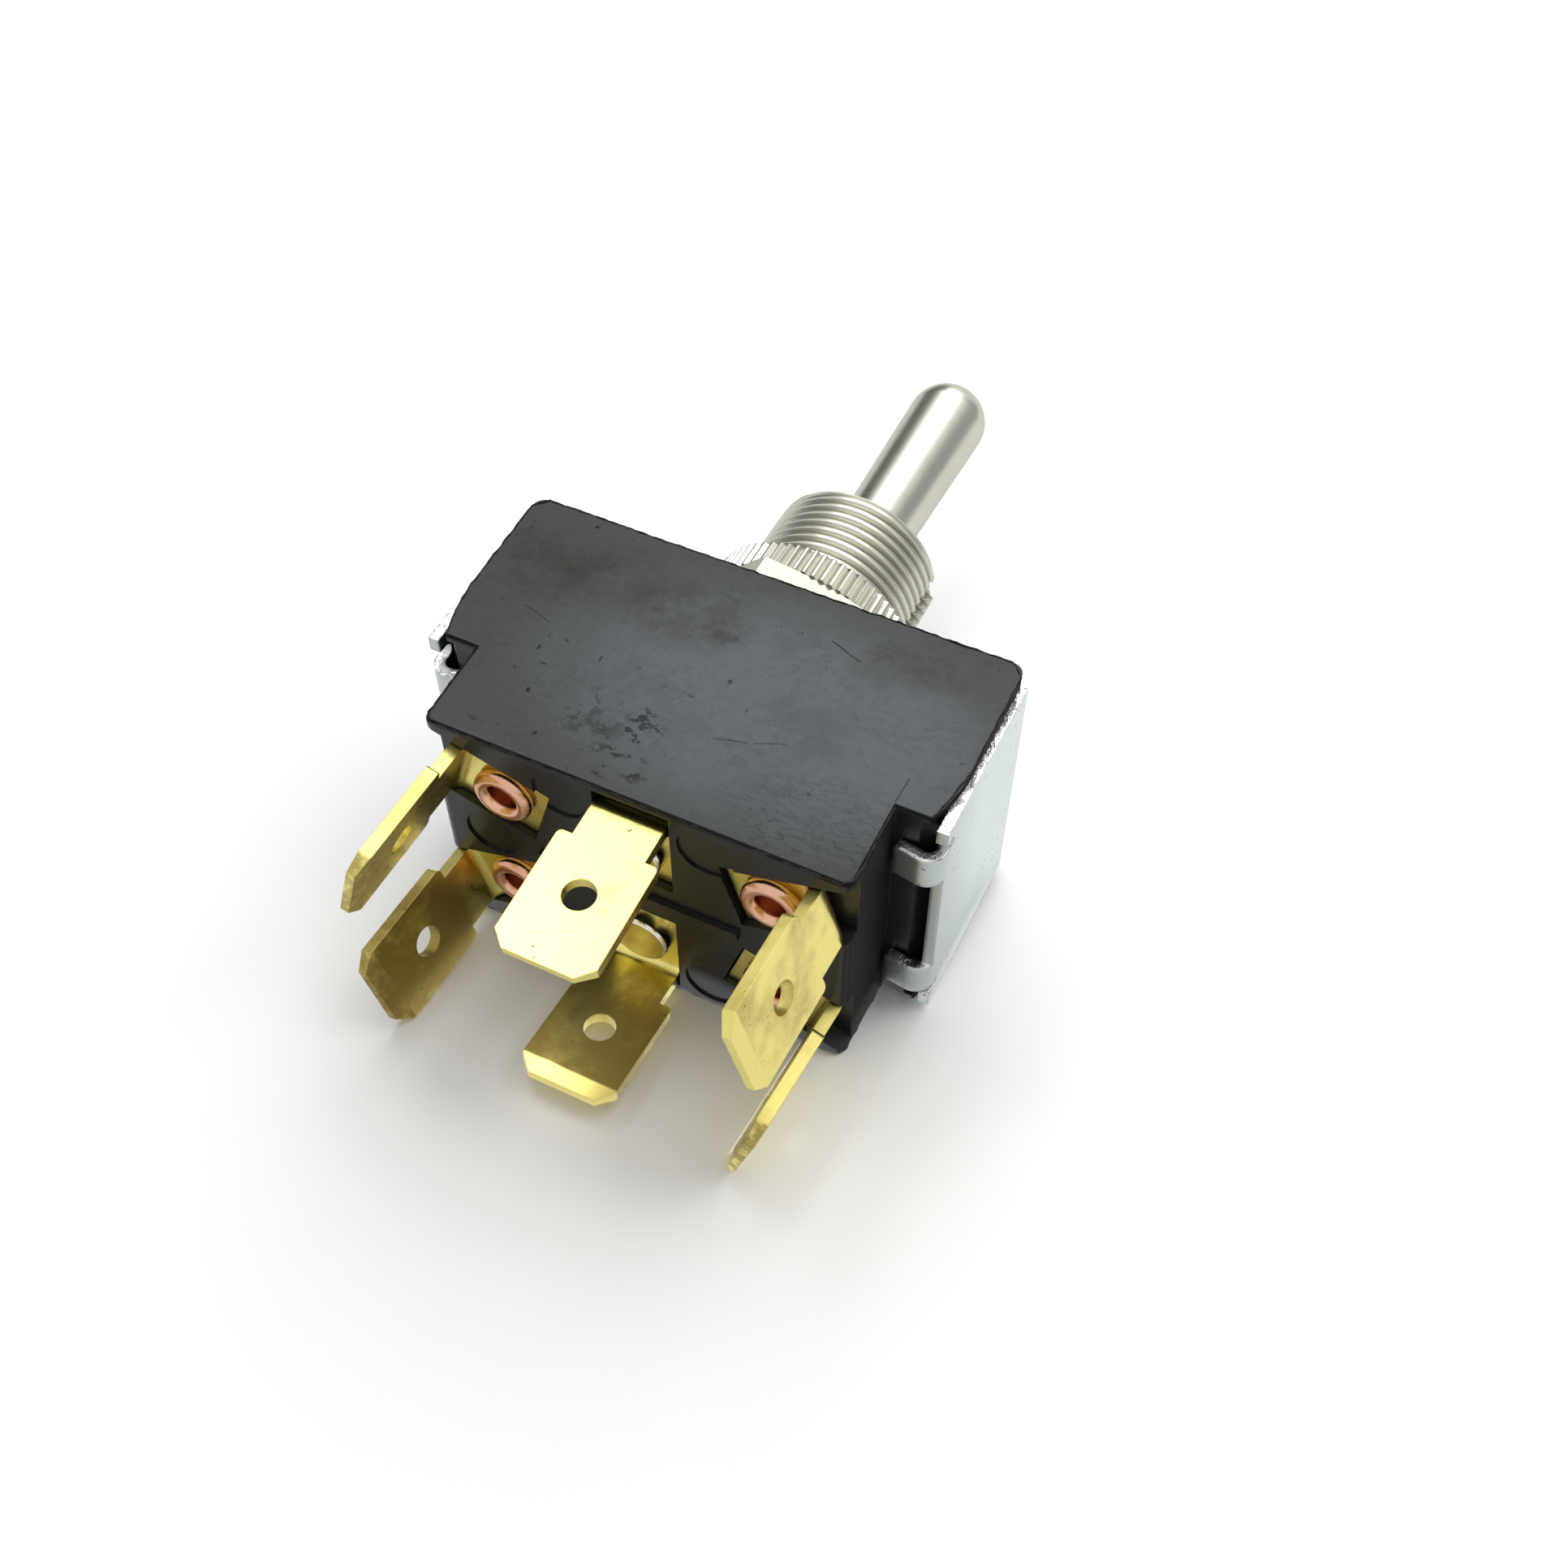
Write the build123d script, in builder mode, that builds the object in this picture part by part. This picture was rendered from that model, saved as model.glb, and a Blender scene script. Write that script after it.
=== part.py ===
from build123d import *
import math
import os

os.makedirs("parts", exist_ok=True)

# Panel bushing, with its free thread starting at z = 0
thread_radius = 5.95
nut_thread_radius = 5.6
thread_length = 7.0
thread_lead = 0.5
thread_pitch = 0.794
thread_depth = 0.45
thread_crest = 0.1
keyway_width = 1.8
keyway_depth = 0.75
flange_radius = 6.6
flange_thickness = 1.0

# Nuts on the bushing
nut_relief = 0.2
knurled_nut_height = 2.1
knurled_nut_radius = 7.4
serration_count = 72
serration_depth = 0.28
hex_nut_height = 2.9
hex_nut_flats = 14.3
hex_nut_turn = 15
nut_chamfer = 0.35
thread_clearance = 0.05

# Steel strap over the top and both ends
sheet = 0.7
strap_stand = 0.4
strap_setback = 1.1
strap_bend = 1.2
strap_overhang = 0.2
tab_width = 2.4
tab_inset = 3.25
tab_bend = 1.2
tab_drop = 0.8
tab_reach = 2.85
tab_relief = 1.0
strap_clearance = 0.05

# Moulded housing
body_length = 32.9
body_width = 19.8
body_height = 18.2
body_draft = 0.88
shoulder_height = 12.3
shoulder_ledge = 2.85
lip_straight = 8.1
lip_taper = 0.8
body_corner = 0.8
bottom_corner = 0.65
lower_corner = 0.3
seat_chamfer = 0.6
seat_ease = 1.0
end_wall = 1.6
side_wall = 1.5
floor_thickness = 2.3
divider_thickness = 1.2
divider_height = 5.4
cavity_corner = 1.0
mark_radius = 1.8
mark_depth = 0.15
mark_x = 4.7
mark_y = 6.75
end_mark_x = 10.1
rib_length = 13.4
rib_width = 0.7
rib_height = 0.3

# Blade terminals and their rivets
brass = 0.8
neck_width = 4.6
blade_width = 6.35
blade_length = 7.9
blade_offset = 3.95
shoulder_drop = 2.4
bend_radius = 1.5
strip_tail = 2.6
hole_radius = 1.0
hole_drop = 3.3
tip_corner = 0.95
shoulder_corner = 0.35
bevel_length = 1.1
bevel_depth = 0.25
pocket_depth = 1.3
pocket_clearance = 0.15
middle_pocket_reach = 4.2
outer_pocket_reach = 7.5
pole_inset = 3.17
outer_inset = 4.8
fan_angle = 17.5
front_middle_short = 0.75
front_right_short = 0.1
back_middle_short = 0.25
rivet_radius = 1.25
rivet_clearance = 0.05
rim_radius = 1.8
rim_height = 0.85
rivet_bore = 0.95
rivet_bore_depth = 1.6
contact_radius = 2.0
contact_edge = 0.3
contact_height = 0.8
middle_head_radius = 1.9
middle_head_height = 1.0
middle_head_edge = 0.3
post_flange = 0.5
post_width = 1.6
post_length = 3.0

# Lever, its pin and the block on its tail
throw = 13
pivot_z = 1.0
ball_radius = 3.6
ball_fit = 0.1
swing_clearance = 0.2
stem_radius = 2.4
tip_radius = 2.91
tip_centre_z = 23.0
pin_radius = 0.75
pin_fit = 0.05
pin_hole_clearance = 0.01
pin_half_length = 4.6
pin_end_clearance = 0.2
block_drop = 1.4
block_length = 5.6
block_gap = 0.72
block_height = 5.6
block_corner = 0.6
tail_depth = 4.2
tail_clearance = 0.05
tail_wall = 0.6

# Rocking contacts, plungers and springs
rocker_tilt = 7.5
rocker_overrun = 1.4
rocker_width = 4.0
rocker_thickness = 0.9
rocker_edge = 0.405
contact_gap = 0.15
pivot_radius = 0.9
pivot_fit = 0.1
plunger_radius = 1.75
plunger_fit = 0.05
plunger_length = 3.5
plunger_gap = 0.1
plunger_roof = 0.8
wire_radius = 0.2
coil_radius = 1.3
coil_turns = 4

# Spans that follow from the sizes above
groove_count = int(thread_length / thread_pitch)
groove_width = thread_pitch - thread_crest
strap_span = body_length + 2 * strap_stand
strap_width = body_width - 2 * strap_setback
tab_y = strap_width / 2 - tab_inset
lower_length = body_length - 2 * shoulder_ledge
cavity_length = lower_length - 2 * end_wall
cavity_width = body_width - 2 * body_draft - 2 * side_wall
pocket_width = neck_width + 2 * pocket_clearance
outer_x = lower_length / 2 - outer_inset
pole_y = cavity_width / 2 - pole_inset
tail_radius = pole_y - plunger_radius - plunger_fit - tail_wall - tail_clearance
block_span = cavity_width - 2 * block_gap
rocker_length = 2 * (outer_x + rocker_overrun)

# Levels
knurled_top = -nut_relief
hex_top = knurled_top - knurled_nut_height
strap_top = hex_top - hex_nut_height
body_top = strap_top - sheet
body_bottom = body_top - body_height
shoulder_z = body_top - shoulder_height
pocket_floor = body_bottom + pocket_depth
cavity_floor = pocket_floor + floor_thickness
divider_top = cavity_floor + divider_height
strip_z = pocket_floor - brass / 2
strip_face = pocket_floor - brass
blade_shoulder_z = body_bottom - shoulder_drop
bushing_bottom = body_top - flange_thickness
rim_z = thread_length + thread_lead
throw_rad = math.radians(throw)
tilt_rad = math.radians(rocker_tilt)
contact_top = cavity_floor + contact_height
rocker_z = (
    contact_top
    + outer_x * math.tan(tilt_rad)
    + rocker_thickness / 2 / math.cos(tilt_rad)
    + contact_gap
)
saddle_bore = pivot_radius + pivot_fit
saddle_radius = saddle_bore + rocker_thickness
block_top = bushing_bottom - block_drop
block_bottom = block_top - block_height
plunger_bore_top = block_top - plunger_roof
plunger_tip = rocker_z + saddle_radius + plunger_gap
plunger_top = plunger_tip + plunger_length

# Terminals: name, x, y, heading and lean of the blade in degrees, how far it is bent short of its full offset
terminal_places = (
    ("terminal_front_left", -outer_x, -pole_y, 180 + fan_angle, 0.6, 0),
    ("terminal_front_middle", 0, -pole_y, 270, -5.0, front_middle_short),
    ("terminal_front_right", outer_x, -pole_y, -fan_angle, -1.7, front_right_short),
    ("terminal_back_left", -outer_x, pole_y, 180 - fan_angle, 2.7, 0),
    ("terminal_back_middle", 0, pole_y, 90, -6.5, back_middle_short),
    ("terminal_back_right", outer_x, pole_y, fan_angle, -3.3, 0),
)
outer_places = [place for place in terminal_places if place[1] != 0]


def seat_plane(x, y, z, heading):
    """Level plane at a rivet, its x axis pointing towards the blade."""
    turn = math.radians(heading)
    return Plane(origin=(x, y, z), x_dir=(math.cos(turn), math.sin(turn), 0), z_dir=(0, 0, 1))


def side_plane(x, y, heading):
    """Upright plane through a rivet along its strip, with sketch y as world z."""
    turn = math.radians(heading)
    return Plane(
        origin=(x, y, 0),
        x_dir=(math.cos(turn), math.sin(turn), 0),
        z_dir=(math.sin(turn), -math.cos(turn), 0),
    )


# Housing: shouldered front outline, drafted broad faces
lip_z = body_top - lip_straight
foot_x = body_length / 2 - lip_taper
with BuildPart() as base_housing:
    with BuildSketch(Plane.XZ) as front_outline:
        with BuildLine():
            Polyline(
                (-body_length / 2, lip_z),
                (-body_length / 2, body_top),
                (body_length / 2, body_top),
                (body_length / 2, lip_z),
            )
            Polyline(
                (-foot_x, shoulder_z),
                (-lower_length / 2, shoulder_z),
                (-lower_length / 2, body_bottom),
                (lower_length / 2, body_bottom),
                (lower_length / 2, shoulder_z),
                (foot_x, shoulder_z),
            )
            for side in (-1, 1):
                TangentArc((side * body_length / 2, lip_z), (side * foot_x, shoulder_z), tangent=(0, -1))
        make_face()
        fillet(front_outline.vertices().group_by(Axis.Y)[-1], body_corner)
        fillet(front_outline.vertices().group_by(Axis.Y)[0], bottom_corner)
    extrude(amount=body_width / 2, both=True)
    with BuildSketch(Plane.YZ) as side_outline:
        with BuildLine():
            Polyline(
                (-body_width / 2, body_top),
                (body_width / 2, body_top),
                (body_width / 2 - body_draft, body_bottom),
                (-body_width / 2 + body_draft, body_bottom),
                close=True,
            )
        make_face()
    extrude(amount=body_length, both=True, mode=Mode.INTERSECT)
    lower_edges = base_housing.edges().filter_by_position(Axis.Z, body_bottom + 2 * bottom_corner, shoulder_z)
    fillet(lower_edges.filter_by(Axis.Y, reverse=True), lower_corner)

    # Seats for the strap's end walls
    with BuildSketch(Plane.XZ):
        seat_x = strap_span / 2 - sheet - strap_clearance
        for side in (-1, 1):
            with BuildLine():
                Polyline(
                    (side * (seat_x - seat_ease), shoulder_z),
                    (side * seat_x, shoulder_z + seat_ease),
                    (side * seat_x, body_top - seat_chamfer),
                    (side * (seat_x - seat_chamfer), body_top),
                    (side * strap_span, body_top),
                    (side * strap_span, shoulder_z),
                    close=True,
                )
            make_face()
    extrude(amount=strap_width / 2 + strap_clearance, both=True, mode=Mode.SUBTRACT)

    # Contact chambers, open to each other above the divider
    with BuildSketch(Plane.XY.offset(divider_top)) as upper_room:
        Rectangle(cavity_length, cavity_width)
        fillet(upper_room.vertices(), cavity_corner)
    extrude(amount=body_top - divider_top, mode=Mode.SUBTRACT)
    with BuildSketch(Plane.XY.offset(cavity_floor)):
        chamber_width = (cavity_width - divider_thickness) / 2
        chamber_y = (chamber_width + divider_thickness) / 2
        with Locations((0, -chamber_y), (0, chamber_y)):
            RectangleRounded(cavity_length, chamber_width, cavity_corner)
    extrude(amount=divider_height, mode=Mode.SUBTRACT)

    # Terminal pockets, the outer ones fanned and open at the end faces
    for name, x, y, heading, lean, short in terminal_places:
        reach = middle_pocket_reach if x == 0 else outer_pocket_reach
        tail = strip_tail + pocket_clearance
        with BuildSketch(seat_plane(x, y, body_bottom, heading)):
            with Locations(((reach - tail) / 2, 0)):
                Rectangle(reach + tail, pocket_width)
        extrude(amount=pocket_depth, mode=Mode.SUBTRACT)

    # Rivet holes through the floor
    with BuildSketch(Plane.XY.offset(pocket_floor)):
        for name, x, y, heading, lean, short in terminal_places:
            with Locations((x, y)):
                Circle(rivet_radius + rivet_clearance)
    extrude(amount=floor_thickness, mode=Mode.SUBTRACT)

    # Round moulding marks and the rib between the two rows
    with BuildSketch(Plane.XY.offset(body_bottom)):
        with Locations((-mark_x, -mark_y), (mark_x, -mark_y), (-mark_x, mark_y), (mark_x, mark_y)):
            Circle(mark_radius)
        with Locations((-end_mark_x, 0), (end_mark_x, 0)):
            Circle(mark_radius)
    extrude(amount=mark_depth, mode=Mode.SUBTRACT)
    with BuildSketch(Plane.XY.offset(body_bottom)):
        Rectangle(rib_length, rib_width)
    extrude(amount=-rib_height)
base_housing.part.label = "base_housing"
export_step(base_housing.part, "parts/base_housing.step")

# Strap: bent sheet with clinch tabs turned in under the shoulders
strap_x = strap_span / 2 - sheet / 2
wall_bottom = shoulder_z - strap_overhang
tab_z = shoulder_z - tab_drop
tab_root = tab_z + tab_bend
tab_tip_z = shoulder_z - sheet / 2 - strap_clearance
with BuildPart() as steel_frame:
    with BuildSketch(Plane.XZ):
        with BuildLine():
            FilletPolyline(
                (-strap_x, wall_bottom),
                (-strap_x, body_top + sheet / 2),
                (strap_x, body_top + sheet / 2),
                (strap_x, wall_bottom),
                radius=strap_bend - sheet / 2,
            )
        trace(line_width=sheet)
    extrude(amount=strap_width / 2, both=True)
    with BuildSketch(Plane.XY.offset(body_top)):
        Circle(nut_thread_radius + thread_clearance)
    extrude(amount=sheet, mode=Mode.SUBTRACT)
    with BuildSketch(Plane.YZ):
        for side in (-1, 1):
            with Locations((side * (tab_y + tab_relief / 2), (tab_root + wall_bottom) / 2)):
                Rectangle(tab_width + tab_relief, tab_root - wall_bottom)
            with Locations((side * (tab_y + (tab_width + tab_relief) / 2), tab_root)):
                Circle(tab_relief / 2)
    extrude(amount=strap_span, both=True, mode=Mode.SUBTRACT)
    for tab_side in (-1, 1):
        with BuildSketch(Plane.XZ.offset(tab_side * tab_y)):
            for side in (-1, 1):
                with BuildLine() as tab_path:
                    FilletPolyline(
                        (side * strap_x, tab_root + sheet),
                        (side * strap_x, tab_z),
                        (side * (strap_span / 2 - tab_reach), tab_tip_z),
                        radius=tab_bend - sheet / 2,
                    )
                trace(tab_path.line, line_width=sheet)
        extrude(amount=tab_width / 2, both=True)
steel_frame.part.label = "steel_frame"
export_step(steel_frame.part, "parts/steel_frame.step")

# Bushing: thread as a row of grooves, flange under the strap, ball seat and flared bore
with BuildPart() as bushing:
    with BuildSketch(Plane.XZ):
        with BuildLine():
            Polyline(
                (0, bushing_bottom),
                (flange_radius, bushing_bottom),
                (flange_radius, body_top),
                (nut_thread_radius, body_top),
                (nut_thread_radius, 0),
                (thread_radius, 0),
                (thread_radius, thread_length),
                (thread_radius - thread_lead, rim_z),
                (0, rim_z),
                close=True,
            )
        make_face()
    revolve(axis=Axis.Z)
    with BuildSketch(Plane.XZ):
        stem_room = stem_radius / math.cos(throw_rad) + swing_clearance
        tail_room = tail_radius / math.cos(throw_rad) + swing_clearance
        rise = rim_z - pivot_z
        fall = pivot_z - bushing_bottom
        with BuildLine():
            Polyline(
                (0, bushing_bottom),
                (tail_room + fall * math.tan(throw_rad), bushing_bottom),
                (tail_room, pivot_z),
                (stem_room, pivot_z),
                (stem_room + rise * math.tan(throw_rad), rim_z),
                (0, rim_z),
                close=True,
            )
        make_face()
    revolve(axis=Axis.Z, mode=Mode.SUBTRACT)
    with BuildSketch(Plane.XY.offset(bushing_bottom)):
        Circle(ball_radius + ball_fit)
    extrude(amount=pivot_z - bushing_bottom, mode=Mode.SUBTRACT)
    with Locations((0, 0, pivot_z)):
        Sphere(ball_radius + ball_fit, mode=Mode.SUBTRACT)
    with BuildSketch(Plane.XZ):
        with Locations((0, pivot_z)):
            Circle(pin_radius + pin_fit)
        with Locations((0, (pivot_z + bushing_bottom) / 2)):
            Rectangle(2 * (pin_radius + pin_fit), pivot_z - bushing_bottom)
    extrude(amount=pin_half_length + pin_end_clearance, both=True, mode=Mode.SUBTRACT)
    with BuildSketch(Plane.XZ):
        for groove in range(groove_count):
            with Locations((thread_radius, thread_length - thread_pitch * (groove + 0.5))):
                Polygon(
                    (-thread_depth, 0),
                    (thread_depth, -groove_width),
                    (thread_depth, groove_width),
                    align=None,
                )
    revolve(axis=Axis.Z, mode=Mode.SUBTRACT)
    with BuildSketch(Plane.XY.offset(strap_top)):
        with Locations((thread_radius, 0)):
            Rectangle(2 * keyway_depth, keyway_width)
    extrude(amount=rim_z - strap_top, mode=Mode.SUBTRACT)
bushing.part.label = "bushing"
export_step(bushing.part, "parts/bushing.step")

# Back nut, corners eased at both faces
with BuildPart() as hex_nut:
    with BuildSketch(Plane.XY.offset(strap_top)):
        RegularPolygon(hex_nut_flats / 2, 6, major_radius=False, rotation=hex_nut_turn)
        Circle(nut_thread_radius + thread_clearance, mode=Mode.SUBTRACT)
    extrude(amount=hex_nut_height)
    with BuildSketch(Plane.XZ):
        corner_radius = hex_nut_flats / 2 / math.cos(math.pi / 6)
        with BuildLine():
            Polyline(
                (0, strap_top),
                (hex_nut_flats / 2, strap_top),
                (corner_radius, strap_top + nut_chamfer),
                (corner_radius, hex_top - nut_chamfer),
                (hex_nut_flats / 2, hex_top),
                (0, hex_top),
                close=True,
            )
        make_face()
    revolve(axis=Axis.Z, mode=Mode.INTERSECT)
hex_nut.part.label = "hex_nut"
export_step(hex_nut.part, "parts/hex_nut.step")

# Face nut with straight serrations round its rim
with BuildPart() as knurled_nut:
    with BuildSketch(Plane.XY.offset(hex_top)):
        serration_pitch = 2 * math.pi * knurled_nut_radius / serration_count
        Circle(knurled_nut_radius)
        Circle(nut_thread_radius + thread_clearance, mode=Mode.SUBTRACT)
        with PolarLocations(knurled_nut_radius - serration_depth, serration_count):
            Polygon(
                (0, 0),
                (2 * serration_depth, -serration_pitch * 0.8),
                (2 * serration_depth, serration_pitch * 0.8),
                align=None,
                mode=Mode.SUBTRACT,
            )
    extrude(amount=knurled_nut_height)
knurled_nut.part.label = "knurled_nut"
export_step(knurled_nut.part, "parts/knurled_nut.step")

# Terminals: strip and bend in one section, neck and blade as a flat blank
for name, x, y, heading, lean, short in terminal_places:
    lean_rad = math.radians(lean)
    turn = math.radians(heading)
    out = Vector(math.cos(turn), math.sin(turn), 0)
    down = out * math.sin(lean_rad) + Vector(0, 0, -math.cos(lean_rad))
    leg_x = blade_offset - short - brass / 2
    corner_x = leg_x - (strip_z - blade_shoulder_z) * math.tan(lean_rad)
    blade_origin = Vector(x, y, blade_shoulder_z) + out * leg_x
    with BuildPart() as terminal:
        with BuildSketch(side_plane(x, y, heading)):
            with BuildLine():
                FilletPolyline(
                    (-strip_tail, strip_z),
                    (corner_x, strip_z),
                    (leg_x, blade_shoulder_z),
                    radius=bend_radius - brass / 2,
                )
            trace(line_width=brass)
        extrude(amount=neck_width / 2, both=True)
        with BuildSketch(seat_plane(x, y, strip_face, heading)):
            Circle(rivet_radius + rivet_clearance)
        extrude(amount=brass, mode=Mode.SUBTRACT)
        blank_plane = Plane(
            origin=blade_origin,
            x_dir=(-math.sin(turn), math.cos(turn), 0),
            z_dir=out * math.cos(lean_rad) + Vector(0, 0, math.sin(lean_rad)),
        )
        with BuildSketch(blank_plane) as blank:
            Rectangle(blade_width, blade_length, align=(Align.CENTER, Align.MAX))
            fillet(blank.vertices().group_by(Axis.Y)[-1], shoulder_corner)
            chamfer(blank.vertices().group_by(Axis.Y)[0], tip_corner)
            with Locations((0, -hole_drop)):
                Circle(hole_radius, mode=Mode.SUBTRACT)
        extrude(amount=brass / 2, both=True)
        bevel_plane = Plane(
            origin=blade_origin + down * blade_length,
            x_dir=out * math.cos(lean_rad) + Vector(0, 0, math.sin(lean_rad)),
            z_dir=(math.sin(turn), -math.cos(turn), 0),
        )
        with BuildSketch(bevel_plane):
            with BuildLine():
                Polyline(
                    (-brass / 2, bevel_length),
                    (-brass / 2 + bevel_depth, 0),
                    (-brass / 2, 0),
                    close=True,
                )
            make_face()
        extrude(amount=blade_width, both=True, mode=Mode.SUBTRACT)
    terminal.part.label = name
    export_step(terminal.part, f"parts/{name}.step")

# Semi-tubular rivets of the outer terminals, their inner heads are the fixed contacts
with BuildPart() as contact_rivets:
    rim_z_low = strip_face - rim_height
    for name, x, y, heading, lean, short in outer_places:
        with BuildSketch(side_plane(x, y, 0)):
            with BuildLine():
                Polyline(
                    (0, contact_top),
                    (0, rim_z_low + rivet_bore_depth),
                    (rivet_bore, rim_z_low + rivet_bore_depth),
                    (rivet_bore, rim_z_low + rim_height / 2),
                )
                ThreePointArc(
                    (rivet_bore, rim_z_low + rim_height / 2),
                    ((rivet_bore + rim_radius) / 2, rim_z_low),
                    (rim_radius, strip_face),
                )
                Polyline(
                    (rim_radius, strip_face),
                    (rivet_radius, strip_face),
                    (rivet_radius, cavity_floor),
                    (contact_radius, cavity_floor),
                    (contact_radius, cavity_floor + contact_edge),
                )
                RadiusArc(
                    (contact_radius, cavity_floor + contact_edge),
                    (0, contact_top),
                    -(contact_radius**2 + (contact_height - contact_edge) ** 2)
                    / (2 * (contact_height - contact_edge)),
                )
            make_face()
        revolve(axis=Axis((x, y, 0), (0, 0, 1)))
contact_rivets.part.label = "contact_rivets"
export_step(contact_rivets.part, "parts/contact_rivets.step")

# Flat headed rivets of the middle terminals, each with a rounded post for a rocking contact
with BuildPart() as pivot_rivets:
    for side in (-1, 1):
        with BuildSketch(Plane.XY.offset(strip_face - middle_head_height)):
            with Locations((0, side * pole_y)):
                Circle(middle_head_radius)
        extrude(amount=middle_head_height)
        with BuildSketch(Plane.XY.offset(strip_face)):
            with Locations((0, side * pole_y)):
                Circle(rivet_radius)
        extrude(amount=cavity_floor - strip_face)
        with BuildSketch(Plane.XY.offset(cavity_floor)):
            with Locations((0, side * pole_y)):
                Circle(middle_head_radius)
        extrude(amount=post_flange)
        with BuildSketch(Plane.XZ.offset(-side * pole_y)):
            with Locations((0, (cavity_floor + rocker_z) / 2)):
                Rectangle(post_width, rocker_z - cavity_floor)
            with Locations((0, rocker_z)):
                Circle(pivot_radius)
        extrude(amount=post_length / 2, both=True)
    fillet(pivot_rivets.edges().filter_by(GeomType.CIRCLE).group_by(Axis.Z)[0], middle_head_edge)
pivot_rivets.part.label = "pivot_rivets"
export_step(pivot_rivets.part, "parts/pivot_rivets.step")

# Lever: bat stem with a round tip, ball and tail
with BuildPart() as lever:
    with BuildSketch(Plane.XZ):
        with BuildLine():
            Polyline((0, tip_centre_z + tip_radius), (0, pivot_z), (stem_radius, pivot_z))
            Line((stem_radius, pivot_z), (tip_radius, tip_centre_z))
            CenterArc((0, tip_centre_z), tip_radius, 0, 90)
        make_face()
    revolve(axis=Axis.Z)
    with Locations((0, 0, pivot_z)):
        Sphere(ball_radius)
    with BuildSketch(Plane.XY.offset(pivot_z)):
        Circle(tail_radius)
    extrude(amount=block_top - tail_depth - pivot_z)
    with BuildSketch(Plane.XZ):
        with Locations((0, pivot_z)):
            Circle(pin_radius + pin_hole_clearance)
    extrude(amount=ball_radius, both=True, mode=Mode.SUBTRACT)
lever.part.label = "lever"
export_step(lever.part, "parts/lever.step")

with BuildPart() as lever_pin:
    with BuildSketch(Plane.XZ):
        with Locations((0, pivot_z)):
            Circle(pin_radius)
    extrude(amount=pin_half_length, both=True)
lever_pin.part.label = "lever_pin"
export_step(lever_pin.part, "parts/lever_pin.step")

# Insulating block on the tail, with a bore for each plunger
with BuildPart() as actuator_block:
    with BuildSketch(Plane.XY.offset(block_bottom)) as block_outline:
        Rectangle(block_length, block_span)
        fillet(block_outline.vertices(), block_corner)
    extrude(amount=block_height)
    with BuildSketch(Plane.XY.offset(block_top)):
        Circle(tail_radius + tail_clearance)
    extrude(amount=-tail_depth - tail_clearance, mode=Mode.SUBTRACT)
    with BuildSketch(Plane.XY.offset(block_bottom)):
        with Locations((0, -pole_y), (0, pole_y)):
            Circle(plunger_radius + plunger_fit)
    extrude(amount=plunger_bore_top - block_bottom, mode=Mode.SUBTRACT)
actuator_block.part.label = "actuator_block"
export_step(actuator_block.part, "parts/actuator_block.step")

# Per pole: plunger, spring and rocking contact
for pole, side in (("front", -1), ("back", 1)):
    with BuildPart() as plunger:
        with BuildSketch(side_plane(0, side * pole_y, 0)):
            with BuildLine():
                Polyline(
                    (0, plunger_tip),
                    (0, plunger_top),
                    (plunger_radius, plunger_top),
                    (plunger_radius, plunger_tip + plunger_radius),
                )
                CenterArc((0, plunger_tip + plunger_radius), plunger_radius, 270, 90)
            make_face()
        revolve(axis=Axis((0, side * pole_y, 0), (0, 0, 1)))
    plunger.part.label = f"plunger_{pole}"
    export_step(plunger.part, f"parts/plunger_{pole}.step")

    coil_low = plunger_top + 1.5 * wire_radius
    coil_height = plunger_bore_top - plunger_top - 3 * wire_radius
    with BuildPart() as spring:
        with BuildLine() as coil:
            Helix(coil_height / coil_turns, coil_height, coil_radius, center=(0, side * pole_y, coil_low))
        with BuildSketch(Plane(origin=coil.line @ 0, z_dir=coil.line % 0)):
            Circle(wire_radius)
        sweep(is_frenet=True)
    spring.part.label = f"spring_{pole}"
    export_step(spring.part, f"parts/spring_{pole}.step")

    with BuildPart() as rocker:
        with BuildSketch(Plane.XZ.offset(-side * pole_y)):
            with Locations((0, rocker_z)):
                RectangleRounded(rocker_length, rocker_thickness, rocker_edge)
                Circle(saddle_radius)
            with Locations((0, rocker_z - saddle_radius)):
                Rectangle(2 * saddle_radius, 2 * saddle_radius - rocker_thickness, mode=Mode.SUBTRACT)
            with Locations((0, rocker_z)):
                Circle(saddle_bore, mode=Mode.SUBTRACT)
            with Locations((0, rocker_z - saddle_bore)):
                Rectangle(2 * saddle_bore, 2 * saddle_bore, mode=Mode.SUBTRACT)
        extrude(amount=rocker_width / 2, both=True)
    rocker.part.label = f"rocker_{pole}"
    export_step(rocker.part, f"parts/rocker_{pole}.step")
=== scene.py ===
# %% [markdown]
# A panel toggle switch, dressed for a photograph.
# The shapes and the motion come from the imported CAD model, which is loaded here and never moved.
# This script adds the camera, the table and the light, the finish of every surface,
# and the fine forms that CAD leaves plain: the helical thread, the ragged moulding flash
# and the plungers' coil springs.

# %% Load the imported model as the fixed frame
import math

import bpy
from mathutils import Matrix, Vector


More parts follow.
